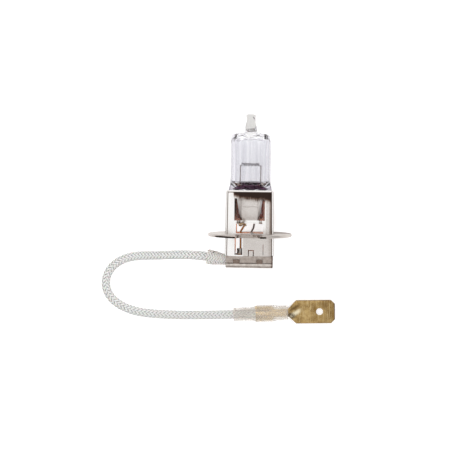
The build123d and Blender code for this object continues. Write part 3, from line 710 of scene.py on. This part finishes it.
def frayMesh(name):     # cut yarn ends that stand out round the sleeve's mouth
    dice = random.Random(outerSleeve["seed"])
    base = outerSleeve["radius"] + outerSleeve["flare"] - 0.12
    end = sleeveLine[-1]
    ahead = (sleeveLine[-1] - sleeveLine[-6]).normalized()
    up = Vector((0, 0, 1))
    up = (up - ahead * up.dot(ahead)).normalized()
    side = ahead.cross(up)
    shape = bmesh.new()
    for k in range(outerSleeve["frayCount"]):
        turn = 2 * math.pi * (k + dice.uniform(-0.3, 0.3)) / outerSleeve["frayCount"]
        spoke = up * math.cos(turn) + side * math.sin(turn)
        around = ahead.cross(spoke)
        lean = dice.uniform(-outerSleeve["frayLean"], outerSleeve["frayLean"])
        rise = dice.uniform(*outerSleeve["frayRise"])
        reach = outerSleeve["frayLength"] * dice.uniform(0.35, 1.0)
        thick = dice.uniform(*outerSleeve["frayThick"])
        previous = None
        for j in range(6):
            t = j / 5
            centre = end + (spoke * (base + rise * t * t) + ahead * (reach * t - 0.35) + around * lean * t * reach) * mm
            ring = []
            for q in range(5):
                spin = 2 * math.pi * q / 5
                size = thick * (1 - 0.45 * t) * mm
                ring.append(shape.verts.new(centre + spoke * math.cos(spin) * size + around * math.sin(spin) * size))
            if previous:
                for q in range(5):
                    shape.faces.new((previous[q], previous[(q + 1) % 5], ring[(q + 1) % 5], ring[q]))
            else:
                shape.faces.new(ring)
            previous = ring
        shape.faces.new(list(reversed(previous)))
    bmesh.ops.recalc_face_normals(shape, faces=shape.faces)
    return meshFrom(name, shape, smooth=False)


frayPiece = newObject("short_sleeve_fray", frayMesh("short_sleeve_fray"), "outerYarn", "outer_braid")
print("short sleeve")


# quartz: crown is height and radius, from the shoulder to the sealed tip
glass = {"radius": 5.25, "wall": 1.05, "sides": 128, "pinchHalf": 5.5, "pinchThick": 3.2,
         "bottom": 3.0, "holder": 11.3, "foot": 13.6, "shoulder": 24.6, "tip": 31.1,       # heights along the lamp
         "cavityFloor": 12.75, "cavityHeel": 13.65, "cavityTop": 23.6,
         "crown": [(24.65, 5.25), (25.08, 5.2), (25.48, 5.03), (25.8, 4.72), (26.0, 4.3), (26.12, 3.6), (26.18, 2.9),
                   (26.22, 2.35), (26.3, 2.02), (26.45, 1.86), (26.7, 1.74), (27.0, 1.6), (27.35, 1.49), (27.8, 1.41),
                   (28.4, 1.33), (29.1, 1.26), (29.6, 1.22), (29.95, 1.2), (30.15, 1.19), (30.28, 1.23), (30.38, 1.29),
                   (30.55, 1.315), (30.8, 1.3), (30.95, 1.24), (31.04, 1.12), (31.09, 0.9), (31.1, 0.55)]}


def roundedBox(turn, halfX, halfZ, corner):      # a point on a rounded rectangle, by its direction
    c, s = math.cos(turn), math.sin(turn)
    power = 2 + 10 * (1 - corner)
    reach = (abs(c / halfX) ** power + abs(s / halfZ) ** power) ** (-1 / power)
    return reach * c, reach * s


def ringShell(shape, rows, inward=False):      # rings of points in millimetres, closed at both ends
    rings = [[shape.verts.new((x * mm, y * mm, z * mm)) for x, y, z in row] for row in rows]
    sides = len(rings[0])
    for a, b in zip(rings, rings[1:]):
        for j in range(sides):
            face = (a[j], b[j], b[(j + 1) % sides], a[(j + 1) % sides])
            shape.faces.new(tuple(reversed(face)) if inward else face)
    for ring, flip in ((rings[0], False), (rings[-1], True)):
        centre = shape.verts.new(sum((v.co for v in ring), Vector()) / sides)
        for j in range(sides):
            face = (ring[j], ring[(j + 1) % sides], centre)
            shape.faces.new(tuple(reversed(face)) if flip != inward else face)


def wobble(x, y, z, size, seed):
    return noise.noise(Vector((x / size + seed, y / size, z / size - seed)))


def glassMesh(name):
    radius = glass["radius"]
    turns = [2 * math.pi * j / glass["sides"] for j in range(glass["sides"])]
    rows = []
    low, high = glass["bottom"], glass["holder"]
    steps = [low, low + 0.06, low + 0.2] + [low + 0.5 + i * (high - 0.2 - low - 0.5) / 14 for i in range(15)]
    for y in steps:     # pinch, squeezed flat by two jaws
        shrink = 0.35 if y == low else 0.12 if y < low + 0.1 else 0.02 if y < low + 0.3 else 0
        row = []
        for turn in turns:
            x, z = roundedBox(turn, glass["pinchHalf"] - shrink, glass["pinchThick"] / 2 - shrink, 0.25)
            press = 0.16 * (0.5 + 0.5 * math.cos(math.pi * min(1, abs(x) / 4.6)))
            press = press * fade(y, 3.6, 4.6) * (1 - fade(y, 10.0, 10.9))
            z -= math.copysign(min(press, abs(z) * 0.3), z) + 0.05 * wobble(x, y, z, 1.9, 3.1)
            row.append((x, y, z))
        rows.append(row)
    low, foot = high - 0.15, glass["foot"]
    for i in range(1, 24):      # foot, from the pinch to the round tube
        t = i / 23
        y = low + (foot - low) * t
        ease = t * t * (3 - 2 * t)
        row = []
        for turn in turns:
            x1, z1 = roundedBox(turn, 5.62, 1.68, 0.3)
            x2, z2 = radius * math.cos(turn), radius * math.sin(turn)
            bulge = 0.06 * math.sin(math.pi * t)
            x = x1 + (x2 - x1) * ease
            z = z1 + (z2 - z1) * min(1, math.sin(math.pi / 2 * t) ** 1.1 * (1.0 + bulge * 0.3))
            row.append((x, y, z))
        rows.append(row)
    for i in range(1, 26):      # tube
        y = foot + (glass["shoulder"] - foot) * i / 26
        rows.append([((radius - 0.02 + 0.012 * wobble(0, y, turn, 2.0, 1.0)) * math.cos(turn), y,
                      (radius - 0.02) * math.sin(turn)) for turn in turns])
    for y, size in glass["crown"]:     # crown and sealed tip
        row = []
        for turn in turns:
            x, z = math.cos(turn), math.sin(turn)
            swirl = fade(y, 26.15, 26.6) * (1 - fade(y, 28.6, 29.6)) * 0.11 + fade(y, 29.2, 30.0) * 0.045
            ripple = swirl * math.sin(2 * turn + y * 2.3) + 0.5 * swirl * wobble(x * 2, y, z * 2, 0.7, 5.0)
            lift = 0.07 * wobble(x * 4, y, z * 4, 1.1, 2.0) * fade(y, 25.9, 26.2) * (1 - fade(y, 26.3, 27.0))
            r = min(size * 0.996 + min(ripple, 0.02 if size < 1.33 and y > 29 else 1), 5.23)
            row.append((r * x, min(y + lift, glass["tip"]), r * z))
        rows.append(row)
    shape = bmesh.new()
    ringShell(shape, rows)
    bore = radius - glass["wall"]
    rows = []
    profile = [(glass["cavityFloor"] + 0.75 * (r / bore) ** 4, r)
               for r in (0.3, 0.9, 1.5, 2.1, 2.6, 3.0, 3.35, 3.65, 3.85, 4.0, 4.1, 4.16)]
    heel, top = glass["cavityHeel"], glass["cavityTop"]
    profile += [(heel + (top - heel) * i / 16, bore) for i in range(17)]
    for i in range(1, 10):
        a = math.pi / 2 * i / 9
        profile.append((23.7 + 1.4 * math.sin(a), bore - 1.6 + 1.6 * math.cos(a)))
    profile += [(25.12, 1.9), (25.16, 1.3), (25.3, 0.8), (25.5, 0.45), (25.6, 0.2)]
    for y, size in profile:
        row = []
        for turn in turns:
            x, z = math.cos(turn), math.sin(turn)
            rough = fade(y, 23.2, 24.2) * 0.16 * wobble(x * size, y, z * size, 1.05, 7.0)
            rough += 0.02 * wobble(x * size, y, z * size, 3.0, 9.0)
            dent = (1 - fade(y, 13.6, 15.2)) * 0.03 * wobble(x * size, y, z * size, 1.4, 4.0)
            row.append(((size + rough + dent) * x, y + 0.5 * rough, (size + rough + dent) * z))
        rows.append(row)
    ringShell(shape, rows, inward=True)
    return meshFrom(name, shape)


def glassShadeAndCrack(p):       # where the quartz is painted dark: a painted reflection of the holder's dark inside across the foot, painted shade on the shoulders and flanks, and a crack in the tip
    inside = math.hypot(p.x, p.z) < 4.3 and 12.7 < p.y < 25.7
    patch = 0.5 + 0.5 * noise.noise(Vector((p.x * 1.3, p.y * 1.3, p.z * 1.3)))
    top = 12.95 - abs(p.x / 4.6) ** 2.6 * 1.1
    # painted reflection of the holder's dark inside, across the foot
    lens = fade(p.y, 11.35, 11.6) * (1 - fade(p.y, top - 0.35, top)) * (0.95 + 0.05 * patch)
    lens *= 1 - fade(abs(p.x), 4.2, 4.7)
    # painted shade in patches on the shoulders
    shoulder = fade(p.y, 25.2, 25.7) * (1 - fade(p.y, 26.3, 26.5)) * fade(abs(p.x), 3.0, 4.2)
    shoulder *= fade(patch, 0.35, 0.7)
    # painted shade on the flanks of the foot
    flank = (1 - fade(p.y, 12.4, 14.0)) * fade(p.y, 10.9, 11.6) * fade(abs(p.x), 4.7, 5.4) * 0.5
    crack = 1 - fade(abs((p.y - 30.1) + 1.15 * (p.x - 0.75)), 0.06, 0.2)
    crack *= fade(p.x, 0.2, 0.4) * (1 - fade(p.x, 1.15, 1.3)) * fade(p.z, 0, 0.3)
    crack *= fade(p.y, 29.4, 29.6) * (1 - fade(p.y, 30.3, 30.4))
    return 0.0 if inside else max(lens, shoulder * 0.62, flank * 0.55, crack * 0.9)


glassPiece = newObject("quartz_glass", glassMesh("quartz_glass"), "quartz", "quartz", "quartz_envelope")
writeShare(glassPiece.data, "haze", glassShadeAndCrack)
print("glass", len(glassPiece.data.polygons))

filament = {"length": 4.8, "turns": 13, "radius": 0.4018, "wire": 0.07, "height": 18.0, "postX": 2.69, "sag": 0.03,
            "perTurn": 24, "sides": 10}


def filamentPoints():       # a tail round the left post, the coil, a tail round the right post
    height, post, radius = filament["height"], filament["postX"], filament["radius"]
    count = filament["turns"] * filament["perTurn"]
    points = [(-post - 0.10, height - 0.52, -0.16), (-post + 0.08, height - 0.42, 0.16)]
    for i in range(count + 1):
        turn = 2 * math.pi * i / filament["perTurn"]
        sag = filament["sag"] * math.sin(math.pi * i / count)
        points.append((filament["length"] * (i / count - 0.5), height - sag - radius * math.cos(turn),
                       radius * math.sin(turn)))
    points += [(post - 0.08, height - 0.42, -0.16), (post + 0.10, height - 0.52, 0.16)]
    return [Vector(p) * mm for p in points]


coilMesh = tubeMesh("filament", filamentPoints(), filament["wire"] * mm, filament["sides"])
newObject("filament", coilMesh, "tungsten", "tungsten", "filament_coil")
for node, finish in (("support_post_left", "molybdenum"), ("support_post_right", "molybdenum"),
                     ("seal_foil_left", "foil"), ("seal_foil_right", "foil"), ("live_pin", "copper"),
                     ("ground_pin", "molybdenum"), ("splice_ferrule", "tin"), ("lead_conductor", "copper")):
    coat(bpy.data.objects[node].data, finish)
print("filament and pins")


# rounding of the sheet edges, in millimetres
sheetEdges = {"outer_bracket": 0.10, "front_plate": 0.07, "rear_plate": 0.07, "mounting_flange": 0.16,
              "shoe_band": 0.06, "shoe_channel": 0.07, "blade_terminal": 0.09}
for node, name, finish in (("outer_bracket", "holder_bracket", "nickelBracket"),
                           ("front_plate", "holder_front", "nickelFront"), ("rear_plate", "holder_rear", "nickel"),
                           ("mounting_flange", "flange_ring", "nickelFlange"),
                           ("shoe_band", "base_band", "nickelShoe"), ("shoe_channel", "base_channel", "nickelShoe")):
    piece = smoothCopy(name, node, finish, "nickel_plate", sheetEdges[node])
    print(name, len(piece.data.polygons))


# spot welds and flux where the pins meet the plates: centre, half sizes, seed
welds = [((-2.35, 2.35, 2.9), (0.62, 0.42, 0.34), 3), ((-1.75, 2.62, 3.02), (0.42, 0.30, 0.24), 5),
         ((-1.1, 2.2, 2.75), (0.34, 0.26, 0.22), 8), ((0.4, -0.5, -2.85), (0.55, 0.6, 0.25), 9)]


def weldMesh(name):
    shape = bmesh.new()
    for centre, sizes, seed in welds:
        made = bmesh.ops.create_icosphere(shape, subdivisions=4, radius=1.0)
        for vertex in made["verts"]:
            p = vertex.co.copy()
            lump = 1 + 0.38 * noise.noise(p * 1.7 + Vector((seed, 0, 0)))
            lump += 0.12 * noise.noise(p * 5 + Vector((0, seed, 0)))
            vertex.co = Vector((centre[k] + p[k] * sizes[k] * lump for k in range(3))) * mm
    return meshFrom(name, shape)


newObject("weld_beads", weldMesh("weld_beads"), "weld", "nickel_plate")
print("metal")


# blade and its clear cover
terminal = {"origin": (-4.45, -22.74, -9.15), "turn": 3.0, "coverLength": 14.8, "wall": 0.25, "sides": 72,
            "cover": [(0, 1.85, 1.85), (0.4, 1.85, 1.85), (5, 1.85, 1.85), (5.5, 1.9, 1.85), (6.0, 2.2, 1.85),
                      (6.5, 2.32, 1.85), (8.3, 2.33, 1.85), (10.3, 2.32, 1.85), (10.9, 2.25, 1.83), (11.4, 2.08, 1.8),
                      (11.8, 2.0, 1.8), (13.5, 1.97, 1.8), (14.5, 1.95, 1.8), (14.8, 1.95, 1.8)]}


def coverMesh(name):        # soft moulded tube over the crimp, slightly uneven, closed wall
    sides, total = terminal["sides"], terminal["coverLength"]
    turn = math.radians(terminal["turn"])
    along = Vector((math.cos(turn), math.sin(turn), 0))
    across = Vector((-math.sin(turn), math.cos(turn), 0))
    origin = Vector(terminal["origin"])
    stations = terminal["cover"]

    def sizeAt(s):
        for (a, ra, qa), (b, rb, qb) in zip(stations, stations[1:]):
            if s <= b:
                t = (s - a) / (b - a)
                return ra + (rb - ra) * t, qa + (qb - qa) * t
        return stations[-1][1:]

    def ring(s, inset, extra=0.0):
        wide, tall = sizeAt(min(max(s, 0), total))
        row = []
        for j in range(sides):
            a = 2 * math.pi * j / sides
            n = noise.noise(Vector((s * 0.7, math.cos(a) * 1.4, math.sin(a) * 1.4)))
            dent = 0.045 * n if not inset else 0.03 * n
            w, t = wide - inset - extra - 0.03 + dent * 0.6, tall - inset - extra - 0.03 + dent * 0.5
            row.append((origin + along * s + across * (w * math.cos(a)) + Vector((0, 0, t * math.sin(a)))) * mm)
        return row

    spots = [0.0, 0.05, 0.15] + [0.3 + (14.5 - 0.3) * i / 70 for i in range(71)] + [14.65, 14.75, total]
    outside = [ring(s, 0, 0.09 if s in (0.0, total) else 0.03 if s in (0.05, 14.75) else 0) for s in spots]
    inside = [ring(s, terminal["wall"]) for s in reversed(spots)]
    rings = outside + inside
    shape = bmesh.new()
    made = [[shape.verts.new(p) for p in row] for row in rings]
    for a, b in zip(made, made[1:] + made[:1]):
        for j in range(sides):
            shape.faces.new((a[j], a[(j + 1) % sides], b[(j + 1) % sides], b[j]))
    bmesh.ops.recalc_face_normals(shape, faces=shape.faces)
    return meshFrom(name, shape)


def bladeStain(p):      # darker root and tool marks
    s = alongBlade(p.x, p.y, terminal["turn"])[0]
    return 0.25 * fade(s, 13.6, 14.6) * (1 - fade(s, 15.6, 17.0)) + 0.1 * noise.noise(p * 0.9)


bladePiece = smoothCopy("blade", "blade_terminal", "brass", "brass", sheetEdges["blade_terminal"])
writeShare(bladePiece.data, "stain", bladeStain)
coverPiece = newObject("cover_sleeve", coverMesh("cover_sleeve"), "vinyl", "clear_vinyl", "terminal_cover")
print("terminal")
